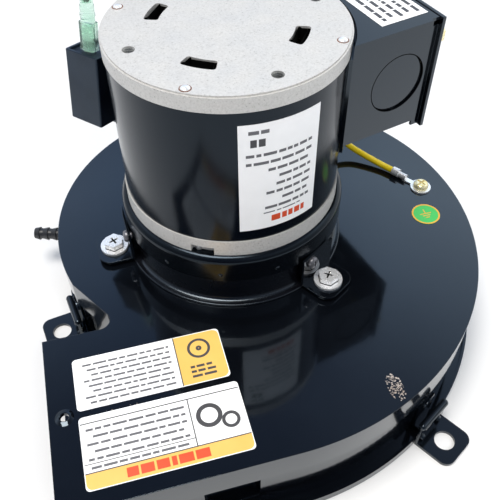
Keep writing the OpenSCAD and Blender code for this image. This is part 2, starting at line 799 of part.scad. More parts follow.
module plate_labels() {
    color(label_white) {
        translate([-75, -74.7, housing_h]) round_block(55, 21.7, 0.15, 1.5);
        translate([-75, -104.2, housing_h]) round_block(56.4, 26.9, 0.15, 1.5);
    }
}

// ---------- Rotating parts ----------

module shaft() {
    color(plain_steel) translate([0, 0, 14]) cylinder(r = shaft_r, h = upper_bell_z - 14.5, $fn = 64);
}

module rotor_cage() {
    color([0.7, 0.7, 0.7]) translate([0, 0, stator_low]) {
        ring(19.9, shaft_r + 0.02, stator_h);
        for (z = [-3, stator_h]) translate([0, 0, z]) ring(19, 13, 3);
    }
}

module cooling_fan() {
    low = shield_top + 1.8;
    color([0.25, 0.25, 0.25]) translate([0, 0, low]) {
        ring(8, shaft_r + 0.02, 6);
        difference() {
            cylinder(r = 30, h = 1, $fn = 64);
            translate([0, 0, -1]) cylinder(r = 7.5, h = 3, $fn = 64);
        }
        for (i = [0 : 7]) rotate([0, 0, 45 * i]) translate([7.5, -0.5, 0]) cube([21, 1, 6]);
    }
}

disc_z = wheel_z + wheel_h - ring_t;

module wheel_disc() {
    color(plain_steel) translate([0, 0, disc_z]) ring(wheel_r, shaft_r + 0.02, ring_t);
}

module wheel_hub() {
    color(zinc) translate([0, 0, disc_z - 13]) difference() {
        ring(9, shaft_r + 0.02, 13);
        translate([0, 0, 6]) rotate([0, 90, 0]) cylinder(r = 2, h = 12, $fn = 24);
    }
}

module hub_screw() {
    color([0.2, 0.2, 0.2]) translate([0, 0, disc_z - 7]) rotate([0, 90, 0]) difference() {
        translate([0, 0, shaft_r + 0.1]) cylinder(r = 1.95, h = 5.4, $fn = 24);
        translate([0, 0, 7]) cylinder(r = 1, h = 4, $fn = 6);
    }
}

// Cupped towards the direction of rotation, which is clockwise seen from above
module blade() {
    bend_r = 7;
    t = 0.8;
    inner = [blade_inner_r + 0.5, 0];
    outer = polar(wheel_r - 0.5, -4);
    chord = outer - inner;
    half = norm(chord) / 2;
    centre = (inner + outer) / 2 + sqrt(bend_r * bend_r - half * half) * unit([chord[1], -chord[0]]);
    from = atan2(outer[1] - centre[1], outer[0] - centre[0]);
    translate([centre[0], centre[1], 0]) rotate([0, 0, from])
        rotate_extrude(angle = 2 * asin(half / bend_r), $fn = 48)
            translate([bend_r - t / 2, 0]) square([t, disc_z - wheel_z - ring_t]);
}

module wheel_blades() {
    color(plain_steel) for (i = [0 : blade_count - 1])
        rotate([0, 0, 360 * i / blade_count]) translate([0, 0, wheel_z + ring_t]) blade();
}

module wheel_ring() {
    color(plain_steel) translate([0, 0, wheel_z]) ring(wheel_r, blade_inner_r, ring_t);
}

base_pan();
inlet_ring();
scroll_band();
scroll_top();
window_pocket();
foot(foot_az[0]);  // foot_left
foot(foot_az[1]);  // foot_right
foot(foot_az[2]);  // foot_rear
foot_rivets();
hose_barb();
barb_nut();
heat_shield();
shaft_seal();
motor_cup();
leg(0);  // leg_left
leg(1);  // leg_right
leg(2);  // leg_rear
leg_pads();
leg_screws();
cup_screws();
lower_end_bell();
motor_shell();
upper_end_bell();
stator_core();
stator_windings();
thermal_protector();
through_bolts();
bolt_nuts();
sleeve_bearing(seat_z - 2, 9);  // lower_bearing
sleeve_bearing(upper_bell_z - 8, 8);  // upper_bearing
capacitor();
capacitor_bracket();
capacitor_blades();
terminal_sleeves();
color([0.1, 0.1, 0.1]) tube(front_route, lead_r);  // capacitor_lead_front
color([0.5, 0.2, 0.1]) tube(rear_route, lead_r);  // capacitor_lead_rear
lead_grommet();
box_bracket();
bracket_screws();
junction_box();
knockout();
box_cover();
cover_screws();
box_bushing();
splice_caps();
color([0.95, 0.8, 0.1]) tube(ground_route, ground_r);  // ground_lead
ring_terminal();
ground_screw();
ground_mark();
nameplate();
box_label();
plate_labels();
shaft();
rotor_cage();
cooling_fan();
wheel_disc();
wheel_hub();
wheel_blades();
wheel_ring();
hub_screw();
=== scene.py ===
"""Combustion fan: materials, fine detail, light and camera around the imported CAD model.

The CAD frame is in metres with its origin at the centre of the inlet, +Z up the motor axis and the
outlet facing -X. Sizes below are in millimetres and are multiplied by MM where they are used.
"""
import json
import math
import random

import bmesh
import bpy
from mathutils import Matrix, Vector


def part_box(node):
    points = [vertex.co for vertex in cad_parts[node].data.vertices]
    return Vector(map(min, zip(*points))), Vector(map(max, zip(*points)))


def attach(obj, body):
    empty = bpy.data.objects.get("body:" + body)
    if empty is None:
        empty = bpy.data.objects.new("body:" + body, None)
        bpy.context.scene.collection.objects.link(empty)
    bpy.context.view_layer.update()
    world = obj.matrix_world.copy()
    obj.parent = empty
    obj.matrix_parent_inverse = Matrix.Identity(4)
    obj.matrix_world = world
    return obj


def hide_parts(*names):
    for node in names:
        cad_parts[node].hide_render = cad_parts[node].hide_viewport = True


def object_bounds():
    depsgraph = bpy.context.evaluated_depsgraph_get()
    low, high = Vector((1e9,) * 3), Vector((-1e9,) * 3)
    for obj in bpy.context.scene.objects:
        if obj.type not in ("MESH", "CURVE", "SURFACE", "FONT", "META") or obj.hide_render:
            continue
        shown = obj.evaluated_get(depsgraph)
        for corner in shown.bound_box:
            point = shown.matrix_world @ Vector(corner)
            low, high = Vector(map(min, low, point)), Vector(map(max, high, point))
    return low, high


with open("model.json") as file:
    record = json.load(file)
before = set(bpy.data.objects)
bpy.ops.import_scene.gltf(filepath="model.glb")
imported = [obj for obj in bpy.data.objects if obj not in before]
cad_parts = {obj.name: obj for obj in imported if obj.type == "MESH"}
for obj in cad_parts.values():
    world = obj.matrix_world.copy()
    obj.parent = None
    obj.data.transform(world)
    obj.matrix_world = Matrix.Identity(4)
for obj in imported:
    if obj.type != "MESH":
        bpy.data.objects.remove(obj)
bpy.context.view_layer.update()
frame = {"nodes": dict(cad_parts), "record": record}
NODES = frame["nodes"]
MOUNTS = {m["name"]: m for m in frame["record"]["mounts"]}
MM = 0.001
UP = Vector((0, 0, 1))


# ---------- Camera ----------

CAMERA_PLACE = Vector((-46.8, -202.5, 247.6)) * MM
CAMERA_AZIMUTH = 75.0
CAMERA_DOWN = 47.56
CAMERA_ROLL = 0.009
CAMERA_LENS = 48.44


def make_camera():
    azimuth, down = math.radians(CAMERA_AZIMUTH), math.radians(CAMERA_DOWN)
    level = math.cos(down)
    ahead = Vector((math.cos(azimuth) * level, math.sin(azimuth) * level, -math.sin(down)))
    right = Vector((math.sin(azimuth), -math.cos(azimuth), 0))
    up = right.cross(ahead)
    tilted_right = (right - CAMERA_ROLL * up).normalized()
    tilted_up = (up + CAMERA_ROLL * right).normalized()
    data = bpy.data.cameras.new("camera")
    data.sensor_width = 36
    data.lens = CAMERA_LENS
    data.clip_start, data.clip_end = 0.01, 20
    camera = bpy.data.objects.new("camera", data)
    bpy.context.scene.collection.objects.link(camera)
    turn = Matrix((tilted_right, tilted_up, -ahead)).transposed().to_4x4()
    camera.matrix_world = Matrix.Translation(CAMERA_PLACE) @ turn
    bpy.context.scene.camera = camera


make_camera()


# ---------- Material helpers ----------

NOISE_LOW, NOISE_HIGH = 0.3, 0.7    # noise seldom leaves this range


def colour_ramp(tree, factor, stops):
    """Colour of a factor, through stops of (position, colour)."""
    ramp = tree.nodes.new("ShaderNodeValToRGB")
    elements = ramp.color_ramp.elements
    while len(elements) < len(stops):
        elements.new(0.5)
    for element, (position, colour) in zip(elements, stops):
        element.position = position
        element.color = (*colour, 1)
    tree.links.new(factor, ramp.inputs["Fac"])
    return ramp.outputs["Color"]


class Shade:
    """A principled material with short calls for procedural detail, all in object coordinates."""

    def __init__(self, name, colour, metallic=0.0, roughness=0.4, **sockets):
        self.material = bpy.data.materials.new(name)
        self.material.use_nodes = True
        self.tree = self.material.node_tree
        self.shader = self.tree.nodes["Principled BSDF"]
        self.shader.inputs["Base Color"].default_value = (*colour, 1)
        self.shader.inputs["Metallic"].default_value = metallic
        self.shader.inputs["Roughness"].default_value = roughness
        for socket, value in sockets.items():
            self.shader.inputs[socket.replace("_", " ")].default_value = value
        self.place = self.tree.nodes.new("ShaderNodeTexCoord").outputs["Object"]
        self.normal = None

    def node(self, kind, **settings):
        made = self.tree.nodes.new(kind)
        for key, value in settings.items():
            setattr(made, key, value)
        return made

    def link(self, source, target):
        self.tree.links.new(source, target)

    def noise(self, scale, detail=3.0, rough=0.55):
        texture = self.node("ShaderNodeTexNoise")
        texture.inputs["Scale"].default_value = scale
        texture.inputs["Detail"].default_value = detail
        texture.inputs["Roughness"].default_value = rough
        self.link(self.place, texture.inputs["Vector"])
        return texture.outputs["Fac"]

    def bands(self, scale, direction="Z", distortion=0.0):
        texture = self.node("ShaderNodeTexWave", wave_type="BANDS", bands_direction=direction)
        texture.inputs["Scale"].default_value = scale
        texture.inputs["Distortion"].default_value = distortion
        self.link(self.place, texture.inputs["Vector"])
        return texture.outputs["Fac"]

    def colour(self, factor, *stops):
        self.link(colour_ramp(self.tree, factor, stops), self.shader.inputs["Base Color"])

    def roughness(self, factor, low, high):
        spread = self.node("ShaderNodeMapRange")
        for key, value in (("From Min", NOISE_LOW), ("From Max", NOISE_HIGH),
                           ("To Min", low), ("To Max", high)):
            spread.inputs[key].default_value = value
        self.link(factor, spread.inputs["Value"])
        self.link(spread.outputs["Result"], self.shader.inputs["Roughness"])

    def bump(self, factor, height_mm):
        """Adds relief on top of the relief that is there already."""
        bump = self.node("ShaderNodeBump")
        bump.inputs["Strength"].default_value = 1.0
        bump.inputs["Distance"].default_value = height_mm * MM
        self.link(factor, bump.inputs["Height"])
        if self.normal:
            self.link(self.normal, bump.inputs["Normal"])
        self.normal = bump.outputs["Normal"]
        self.link(self.normal, self.shader.inputs["Normal"])


# ---------- Materials ----------

BLUE_GLOSS = (0.6, 0.8, 1.0, 1)    # cool tint of the reflections in black paint


def paint(name, dark, light, smooth, dull, peel_mm, coat=0.5, **sockets):
    """Black stove paint: slight tone drift, uneven gloss, orange peel and a little dust."""
    shade = Shade(name, dark, roughness=smooth, Coat_Weight=coat, Coat_Roughness=smooth * 0.8,
                  Specular_Tint=BLUE_GLOSS, **sockets)
    shade.colour(shade.noise(26, 4), (0.35, dark), (0.7, light))
    shade.roughness(shade.noise(48, 6, 0.65), smooth, dull)
    shade.bump(shade.noise(420, 2, 0.4), peel_mm)
    shade.bump(shade.noise(2600, 2, 0.7), 0.002)
    return shade.material


def plated(name, stops, smooth, dull, grain=900):
    """Plated steel: mottled tone and fine grain."""
    shade = Shade(name, stops[0][1], metallic=0.6, roughness=smooth)
    shade.colour(shade.noise(grain / 3, 4, 0.6), *stops)
    shade.roughness(shade.noise(grain, 3), smooth, dull)
    shade.bump(shade.noise(grain * 3, 2), 0.006)
    return shade.material


def plastic(name, dark, light, smooth, dull, grain_mm, **sockets):
    """Moulded plastic, rubber or wire cover: slight tone drift and fine grain."""
    shade = Shade(name, dark, roughness=smooth, **sockets)
    shade.colour(shade.noise(90, 3), (0.35, dark), (0.7, light))
    shade.roughness(shade.noise(160, 4), smooth, dull)
    shade.bump(shade.noise(1500, 3, 0.6), grain_mm)
    return shade.material


def cast_alloy(name):
    """Tumbled die casting: pale, with fine speckle, small dark pores and broad stains."""
    shade = Shade(name, (0.8, 0.79, 0.77), metallic=0.25, roughness=0.5)
    speckle = shade.noise(1500, 6, 0.75)
    shade.colour(speckle, (0.34, (0.27, 0.26, 0.24)), (0.4, (0.52, 0.51, 0.49)),
                 (0.7, (0.64, 0.63, 0.61)))
    shade.roughness(shade.noise(120, 5, 0.6), 0.36, 0.58)
    shade.bump(speckle, 0.02)
    shade.bump(shade.noise(260, 3), 0.04)
    return shade.material


def laminated(name):
    """Stacked steel sheets: level layers in two greys."""
    shade = Shade(name, (0.3, 0.3, 0.32), metallic=1.0, roughness=0.45)
    layers = shade.bands(320)
    shade.colour(layers, (0.3, (0.16, 0.16, 0.18)), (0.7, (0.42, 0.42, 0.45)))
    shade.roughness(shade.noise(300, 3), 0.35, 0.55)
    shade.bump(layers, 0.05)
    return shade.material


def wound(name):
    """Enamelled copper wire: slanting strands under a clear coat."""
    shade = Shade(name, (0.6, 0.24, 0.09), metallic=0.8, roughness=0.3, Coat_Weight=0.4)
    strands = shade.bands(420, "DIAGONAL", 1.5)
    shade.colour(strands, (0.2, (0.24, 0.08, 0.03)), (0.8, (0.78, 0.36, 0.15)))
    shade.roughness(shade.noise(200, 3), 0.22, 0.42)
    shade.bump(strands, 0.15)
    return shade.material


def sleeve_film(name):
    """Thin, clear, faintly green vinyl, cloudy in places."""
    shade = Shade(name, (0.74, 0.95, 0.83), roughness=0.08, IOR=1.2, Transmission_Weight=0.86,
                  Specular_IOR_Level=0.9)
    shade.colour(shade.noise(170, 4), (0.3, (0.5, 0.84, 0.64)), (0.6, (0.86, 0.99, 0.92)))
    shade.roughness(shade.noise(260, 3), 0.04, 0.2)
    shade.bump(shade.noise(190, 3), 0.15)
    return shade.material


def printed(name, colour, roughness=0.35):
    """Printed label film, with a faint mottle and a slightly uneven gloss."""
    tint = [0.93 * c for c in colour]
    shade = Shade(name, colour, roughness=roughness)
    shade.colour(shade.noise(70, 4), (0.3, tint), (0.65, colour))
    shade.roughness(shade.noise(140, 3), roughness * 0.8, roughness * 1.2)
    shade.bump(shade.noise(240, 2), 0.008)
    return shade.material


MATERIALS = {
    "housing_paint": paint("housing_paint", (0.0016, 0.002, 0.003), (0.003, 0.004, 0.006),
                           0.06, 0.13, 0.008, 0.35),
    "shield_paint": paint("shield_paint", (0.002, 0.002, 0.003), (0.004, 0.004, 0.006),
                          0.2, 0.32, 0.015),
    "shell_paint": paint("shell_paint", (0.0008, 0.0014, 0.003), (0.0018, 0.003, 0.006),
                         0.13, 0.2, 0.008, 0.05, IOR=1.35),
    "cup_paint": paint("cup_paint", (0.0008, 0.0012, 0.002), (0.0016, 0.002, 0.003),
                       0.16, 0.26, 0.012, 0.05, IOR=1.38),
    "cast_alloy": cast_alloy("cast_alloy"),
    "zinc_plate": plated("zinc_plate", [(0.3, (0.86, 0.86, 0.86)), (0.7, (0.96, 0.96, 0.96))],
                         0.2, 0.3),
    "yellow_zinc": plated("yellow_zinc",
                          [(0.3, (0.95, 0.78, 0.34)), (0.5, (0.96, 0.88, 0.55)), (0.7, (0.92, 0.78, 0.52))],
                          0.18, 0.34),
    "plain_steel": plated("plain_steel", [(0.3, (0.1, 0.1, 0.11)), (0.7, (0.22, 0.22, 0.24))],
                          0.22, 0.38),
    "galvanised": plated("galvanised", [(0.3, (0.46, 0.48, 0.5)), (0.7, (0.68, 0.7, 0.72))],
                         0.3, 0.5, 260),
    "thread_steel": plated("thread_steel", [(0.3, (0.16, 0.16, 0.15)), (0.7, (0.5, 0.5, 0.48))],
                           0.25, 0.4),
    "bronze": plated("bronze", [(0.3, (0.44, 0.28, 0.12)), (0.7, (0.68, 0.48, 0.26))], 0.35, 0.55),
    "lamination": laminated("lamination"),
    "copper_wire": wound("copper_wire"),
    "black_rubber": plastic("black_rubber", (0.012, 0.012, 0.012), (0.03, 0.03, 0.03), 0.6, 0.8, 0.05),
    "black_plastic": plastic("black_plastic", (0.008, 0.009, 0.011), (0.02, 0.021, 0.024),
                             0.28, 0.45, 0.03),
    "capacitor_case": plastic("capacitor_case", (0.004, 0.006, 0.012), (0.008, 0.012, 0.022),
                              0.3, 0.44, 0.03, Specular_Tint=BLUE_GLOSS),
    "grey_nylon": plastic("grey_nylon", (0.12, 0.12, 0.13), (0.2, 0.2, 0.21), 0.4, 0.6, 0.03),
    "orange_plastic": plastic("orange_plastic", (0.7, 0.24, 0.03), (0.85, 0.34, 0.06), 0.25, 0.4, 0.02),
    "ceramic": plastic("ceramic", (0.7, 0.68, 0.6), (0.82, 0.8, 0.72), 0.3, 0.45, 0.02),
    "yellow_wire": plastic("yellow_wire", (0.96, 0.66, 0.01), (1.0, 0.76, 0.03), 0.25, 0.36, 0.01,
                           Subsurface_Weight=0.05),
    "black_wire": plastic("black_wire", (0.008, 0.008, 0.009), (0.02, 0.02, 0.022), 0.25, 0.4, 0.01),
    "brown_wire": plastic("brown_wire", (0.12, 0.04, 0.015), (0.2, 0.08, 0.03), 0.25, 0.4, 0.01),
    "hole_shade": plastic("hole_shade", (0.002, 0.002, 0.002), (0.004, 0.004, 0.004), 0.7, 0.9, 0.02,
                          Specular_IOR_Level=0.05),
    "dried_paint": plastic("dried_paint", (0.3, 0.24, 0.2), (0.62, 0.55, 0.5), 0.6, 0.8, 0.1),
    "clear_sleeve": sleeve_film("clear_sleeve"),
    "label_film": printed("label_film", (0.97, 0.97, 0.97)),
    "label_amber": printed("label_amber", (0.84, 0.5, 0.12)),
    "label_red": printed("label_red", (0.66, 0.07, 0.015), 0.4),
    "label_ink": printed("label_ink", (0.05, 0.05, 0.055), 0.45),
    "label_grey": printed("label_grey", (0.12, 0.12, 0.13), 0.45),
    "ground_green": printed("ground_green", (0.06, 0.55, 0.1)),
    "mark_gold": printed("mark_gold", (0.85, 0.42, 0.04)),
}


def finish_with(piece, name):
    piece.data.materials.clear()
    piece.data.materials.append(MATERIALS[name])
    return piece


for entry in frame["record"]["subparts"]:
    finish_with(NODES[entry["node"]], entry["material_slot"])
SLOT_OF = {entry["node"]: entry["material_slot"] for entry in frame["record"]["subparts"]}


# ---------- Mesh helpers ----------

SMOOTH_ANGLE = 40       # degrees; faces that meet at less are shaded as one
BEVEL_ANGLE = 32        # degrees; edges sharper than this are rounded
FLAT_ANGLE = 0.4        # degrees; faces that meet at less are merged before rounding
WELD_DISTANCE = 2e-6    # metres; points nearer than this are one point


def new_piece(name, points, faces, look, slot=None):
    """A piece on the fixed body, with smooth shading broken at sharp edges. Points are in metres."""
    mesh = bpy.data.meshes.new(name)
    mesh.from_pydata([tuple(p) for p in points], [], faces)
    build = bmesh.new()
    build.from_mesh(mesh)
    bmesh.ops.recalc_face_normals(build, faces=build.faces)
    for edge in build.edges:
        edge.smooth = not edge.is_manifold or edge.calc_face_angle(0) < math.radians(SMOOTH_ANGLE)
    for face in build.faces:
        face.smooth = True
    build.to_mesh(mesh)
    build.free()
    piece = bpy.data.objects.new(name, mesh)
    bpy.context.scene.collection.objects.link(piece)
    finish_with(piece, look)
    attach(piece, "root")
    return piece


def softened(node, width_mm, look=None):
    """A copy of a fixed CAD node with its sharp edges rounded, which stands for the node."""
    build = bmesh.new()
    build.from_mesh(NODES[node].data)
    bmesh.ops.remove_doubles(build, verts=build.verts, dist=WELD_DISTANCE)
    bmesh.ops.dissolve_limit(build, angle_limit=math.radians(FLAT_ANGLE), verts=build.verts,
                             edges=build.edges)
    mesh = bpy.data.meshes.new(node + "_soft")
    build.to_mesh(mesh)
    build.free()
    mesh.shade_smooth()
    rough = bpy.data.objects.new(node + "_rough", mesh)
    bpy.context.scene.collection.objects.link(rough)
    bevel = rough.modifiers.new("edges", "BEVEL")
    bevel.width = width_mm * MM
    bevel.segments = 2
    bevel.limit_method = "ANGLE"
    bevel.angle_limit = math.radians(BEVEL_ANGLE)
    bevel.use_clamp_overlap = True
    weighted = rough.modifiers.new("normals", "WEIGHTED_NORMAL")
    weighted.mode = "FACE_AREA"
    weighted.weight = 100
    evaluated = rough.evaluated_get(bpy.context.evaluated_depsgraph_get())
    baked = bpy.data.meshes.new_from_object(evaluated)
    bpy.data.objects.remove(rough)
    piece = bpy.data.objects.new(node + "_soft", baked)
    bpy.context.scene.collection.objects.link(piece)
    finish_with(piece, look or SLOT_OF[node])
    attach(piece, "root")
    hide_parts(node)


def loft(rings, closed_ends=True):
    """Points and faces of a surface through rings that all hold the same number of points."""
    count = len(rings[0])
    points = [p for ring in rings for p in ring]
    faces = []
    for i in range(len(rings) - 1):
        for k in range(count):
            after = (k + 1) % count
            faces.append((i * count + k, i * count + after, (i + 1) * count + after, (i + 1) * count + k))
    if closed_ends:
        faces.append(tuple(range(count))[::-1])
        faces.append(tuple(range((len(rings) - 1) * count, len(rings) * count)))
    return points, faces


def closed_strip(rings):
    """Points and faces of a band through rings, with the last ring joined to the first."""
    points, faces = loft(rings + [rings[0]], closed_ends=False)
    count = len(points) - len(rings[0])
    return points[:count], [tuple(i % count for i in face) for face in faces]


def slab(outline, low, high, turn=0.0):
    """Points and faces of a flat plate of (x, y) millimetre points, turned about the motor axis."""
    spin = Matrix.Rotation(math.radians(turn), 4, "Z")
    count = len(outline)
    points = [(spin @ Vector((x, y, z))) * MM for z in (low, high) for x, y in outline]
    faces = [tuple(range(count))[::-1], tuple(range(count, 2 * count))]
    faces += [(k, (k + 1) % count, count + (k + 1) % count, count + k) for k in range(count)]
    return points, faces


def box_corners(x0, y0, x1, y1):
    return [(x0, y0), (x1, y0), (x1, y1), (x0, y1)]


def round_ring(radius, height, count=64):
    return [Vector((radius * math.cos(a), radius * math.sin(a), height))
            for a in (2 * math.pi * k / count for k in range(count))]


def placed(points, place, axis=UP, turn=0.0):
    """Millimetre points about +Z, turned so that +Z is axis, moved to place and changed to metres."""
    spin = Matrix.Rotation(math.radians(turn), 4, "Z")
    aim = UP.rotation_difference(Vector(axis)).to_matrix().to_4x4()
    return [(Matrix.Translation(Vector(place)) @ aim @ spin @ Vector(p)) * MM for p in points]


def joined(parts):
    """One list of points and faces from several."""
    points, faces = [], []
    for more_points, more_faces in parts:
        start = len(points)
        points += more_points
        faces += [tuple(start + i for i in face) for face in more_faces]
    return points, faces


def polar(radius, azimuth, height=0.0):
    a = math.radians(azimuth)
    return Vector((radius * math.cos(a), radius * math.sin(a), height))


def smooth_path(points, steps=6):
    """Catmull-Rom curve through the points."""
    made = []
    for i in range(len(points) - 1):
        a, b = points[max(i - 1, 0)], points[i]
        c, d = points[i + 1], points[min(i + 2, len(points) - 1)]
        for s in range(steps):
            f = s / steps
            made.append((2 * b + (c - a) * f + (2 * a - 5 * b + 4 * c - d) * f * f
                         + (3 * b - a - 3 * c + d) * f ** 3) / 2)
    return made + [points[-1]]


def tube(path, radius, sides=16):
    """Closed tube along a path, with radius a number or one number for each point."""
    rings = []
    side = None
    for i, point in enumerate(path):
        ahead = (path[min(i + 1, len(path) - 1)] - path[max(i - 1, 0)]).normalized()
        if side is None:
            side = ahead.orthogonal().normalized()
        side = (side - ahead * side.dot(ahead)).normalized()
        over = ahead.cross(side)
        r = radius[i] if isinstance(radius, list) else radius
        rings.append([point + r * (math.cos(a) * side + math.sin(a) * over)
                      for a in (2 * math.pi * k / sides for k in range(sides))])
    return loft(rings)


def metres(points):
    return [Vector(p) * MM for p in points]

# ---------- Rounded edges ----------

EDGE_WIDTHS = {    # millimetres
    "scroll_top": 0.5, "leg_left": 0.35, "leg_right": 0.35, "leg_rear": 0.35, "junction_box": 0.45,
    "box_cover": 0.5, "capacitor": 0.6, "foot_left": 0.4, "foot_right": 0.4, "foot_rear": 0.4,
    "heat_shield": 0.4, "leg_screws": 0.3, "cup_screws": 0.25, "cover_screws": 0.25,
    "lower_end_bell": 0.25, "upper_end_bell": 0.45, "ground_screw": 0.25, "window_pocket": 0.35,
    "inlet_ring": 0.3,
}
CUP_EDGE_WIDTH = 0.4

for entry, width in EDGE_WIDTHS.items():
    softened(entry, width)
softened("motor_cup", CUP_EDGE_WIDTH, "cup_paint")


# ---------- Labels ----------

# Printed areas on the housing's top, each as (left, low, right, high) in millimetres.
UPPER_PANEL = (-37.3, -74.4, -20.3, -53.3)
UPPER_DIVIDER = (-37.6, -74.5, -37.2, -53.2)
LOWER_BAND = (-74.7, -103.9, -18.9, -98.2)
LOWER_RULES = ((-74.7, -80.2, -18.9, -79.8), (-74.7, -98.4, -18.9, -98.0),
               (-37.6, -98.2, -37.2, -80.0), (-74.7, -95.2, -37.4, -94.9))

# Heights of the printed layers above a label's face, in millimetres.
AMBER_HEIGHT = 0.02
DASH_HEIGHT = 0.025
SIGN_HEIGHT = 0.03
RULE_HEIGHT = 0.04

WORD_LENGTHS = (1.6, 5.2)
WORD_GAPS = (0.5, 0.8)
CORNER_STEPS = 6
BOX_AZIMUTH = 14.0


def rounded(box, radii):
    """Rectangle with its own radius at each corner: lower left, lower right, upper right, upper left."""
    x0, y0, x1, y1 = box
    corners = (((x0, y0), (1, 1), 180), ((x1, y0), (-1, 1), 270),
               ((x1, y1), (-1, -1), 0), ((x0, y1), (1, -1), 90))
    points = []
    for ((x, y), (sx, sy), start), r in zip(corners, radii):
        if r <= 0:
            points.append((x, y))
            continue
        for step in range(CORNER_STEPS + 1):
            a = math.radians(start + 90 / CORNER_STEPS * step)
            points.append((x + sx * r + r * math.cos(a), y + sy * r + r * math.sin(a)))
    return points


def word_spans(start, end, seed):
    """Lengths of word-like dashes between two places, the same at every run."""
    dice = random.Random(seed)
    spans, here = [], start
    while here < end - WORD_GAPS[1]:
        stop = min(here + dice.uniform(*WORD_LENGTHS), end)
        spans.append((here, stop))
        here = stop + dice.uniform(*WORD_GAPS)
    return spans


def label_piece(name, parts, look):
    new_piece(name, *joined(parts), look, "label_film")


def flat_bars(name, rows, height, thick, look, turn=0.0, across=False):
    """Rows of dashes that stand for small print: each row is (start, end, middle, seed)."""
    parts = []
    for start, end, middle, seed in rows:
        low, high = middle - thick / 2, middle + thick / 2
        for a, b in word_spans(start, end, seed):
            box = (low, a, high, b) if across else (a, low, b, high)
            parts.append(slab(box_corners(*box), height, height + DASH_HEIGHT, turn))
    label_piece(name, parts, look)


def ring_slab(outer, inner, centre, low, high, count=48):
    """Points and faces of a flat ring."""
    return closed_strip([
        [Vector((centre[0] + r * math.cos(a), centre[1] + r * math.sin(a), z)) * MM
         for a in (2 * math.pi * k / count for k in range(count))]
        for r, z in ((outer, low), (outer, high), (inner, high), (inner, low))])


def curved_bars(name, rows, radius, thick, look):
    """Rows of dashes round the motor shell: each row is (start mm, end mm, height mm, seed)."""
    longest_step = 1.2
    out = radius + SIGN_HEIGHT
    parts = []
    for start, end, middle, seed in rows:
        low, high = middle - thick / 2, middle + thick / 2
        for a, b in word_spans(start, end, seed):
            steps = max(2, int((b - a) / longest_step) + 1)
            angles = [(a + (b - a) * k / steps) / radius for k in range(steps + 1)]
            parts.append(loft([
                [Vector((r * math.cos(angle), r * math.sin(angle), z)) * MM
                 for r, z in ((radius, low), (out, low), (out, high), (radius, high))]
                for angle in angles]))
    label_piece(name, parts, look)


def make_upper_label(top):
    """Amber panel with a ringed sign and a caption, beside lines of small print."""
    label_piece("upper_label_panel",
                [slab(rounded(UPPER_PANEL, (0, 2.4, 2.4, 0)), top, top + AMBER_HEIGHT)], "label_amber")
    label_piece("upper_label_divider",
                [slab(box_corners(*UPPER_DIVIDER), top, top + RULE_HEIGHT)], "label_ink")
    flat_bars("upper_label_print",
              [(-71.5 + 1.4 * (k % 3), -39.6, -56.4 - 2.28 * k, 11 + k) for k in range(8)],
              top, 0.8, "label_grey")
    sign, low, high = (-28.8, -60.0), top + AMBER_HEIGHT, top + AMBER_HEIGHT + SIGN_HEIGHT
    label_piece("upper_label_sign",
                [ring_slab(4.3, 3.3, sign, low, high), ring_slab(1.1, 0.2, sign, low, high)], "label_ink")
    flat_bars("upper_label_caption",
              [(-33.4, -24.4, -67.6 - 2.0 * k, 31 + k) for k in range(3)], low, 1.0, "label_ink")


def make_lower_label(top):
    """Amber band with a red heading above ruled fields of small print and a sign of two rings."""
    label_piece("lower_label_band",
                [slab(rounded(LOWER_BAND, (2.2, 2.2, 0, 0)), top, top + AMBER_HEIGHT)], "label_amber")
    flat_bars("lower_label_heading", [(-61.5, -33.7, -101.1, 5)], top + AMBER_HEIGHT, 3.3, "label_red")
    label_piece("lower_label_lines",
                [slab(box_corners(*rule), top, top + RULE_HEIGHT) for rule in LOWER_RULES], "label_ink")
    flat_bars("lower_label_print",
              [(-73.0 + 2.2 * (k % 2), -39.0, -82.6 - 2.75 * k, 51 + k) for k in range(5)],
              top, 0.9, "label_grey")
    flat_bars("lower_label_note", [(-72.5, -39.5, -96.6, 61)], top, 0.9, "label_grey")
    label_piece("lower_label_sign",
                [ring_slab(4.6, 3.0, (-31.2, -88.0), top, top + SIGN_HEIGHT),
                 ring_slab(3.2, 2.0, (-24.2, -91.4), top, top + SIGN_HEIGHT)], "label_ink")


def make_nameplate_print():
    """Eight lines of print, a number, a stamp, a red bar and a rule on the motor's nameplate."""
    low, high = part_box("nameplate")
    radius = max(abs(low.y), abs(high.y)) / MM + 0.01
    first, last = math.radians(-99) * radius, math.radians(-60.5) * radius
    base, top = low.z / MM, high.z / MM
    margin, inset, first_line, pitch = 2.0, 0.3, 12.4, 3.4
    lengths = (24.6, 24.6, 17.0, 13.0, 14.0, 17.6, 11.6, 18.0)
    rows = [(last - margin - length, last - margin - inset, top - first_line - pitch * k, 71 + k)
            for k, length in enumerate(lengths)]
    curved_bars("nameplate_print", rows, radius, 1.15, "label_grey")
    curved_bars("nameplate_number", [(first + 2.6, first + 9.4, top - 3.2, 81)], radius, 1.4, "label_grey")
    curved_bars("nameplate_stamp", [(first + 3.2, first + 8.2, top - 7.4, 82)], radius, 3.0, "label_ink")
    curved_bars("nameplate_bar", [(last - 17.5, last - 4.0, base + 4.2, 83)], radius, 2.8, "label_red")
    curved_bars("nameplate_rule", [(last - 20.5, last - 6.0, base + 7.4, 84)], radius, 0.5, "label_grey")


def make_box_label_print():
    """Five lines of print along the label on top of the junction box."""
    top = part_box("box_label")[1].z / MM
    flat_bars("box_label_print",
              [(-23.8 + 1.2 * (k % 2), 17.5, 48.4 + 3.5 * k, 91 + k) for k in range(5)],
              top, 1.5, "label_ink", BOX_AZIMUTH, across=True)


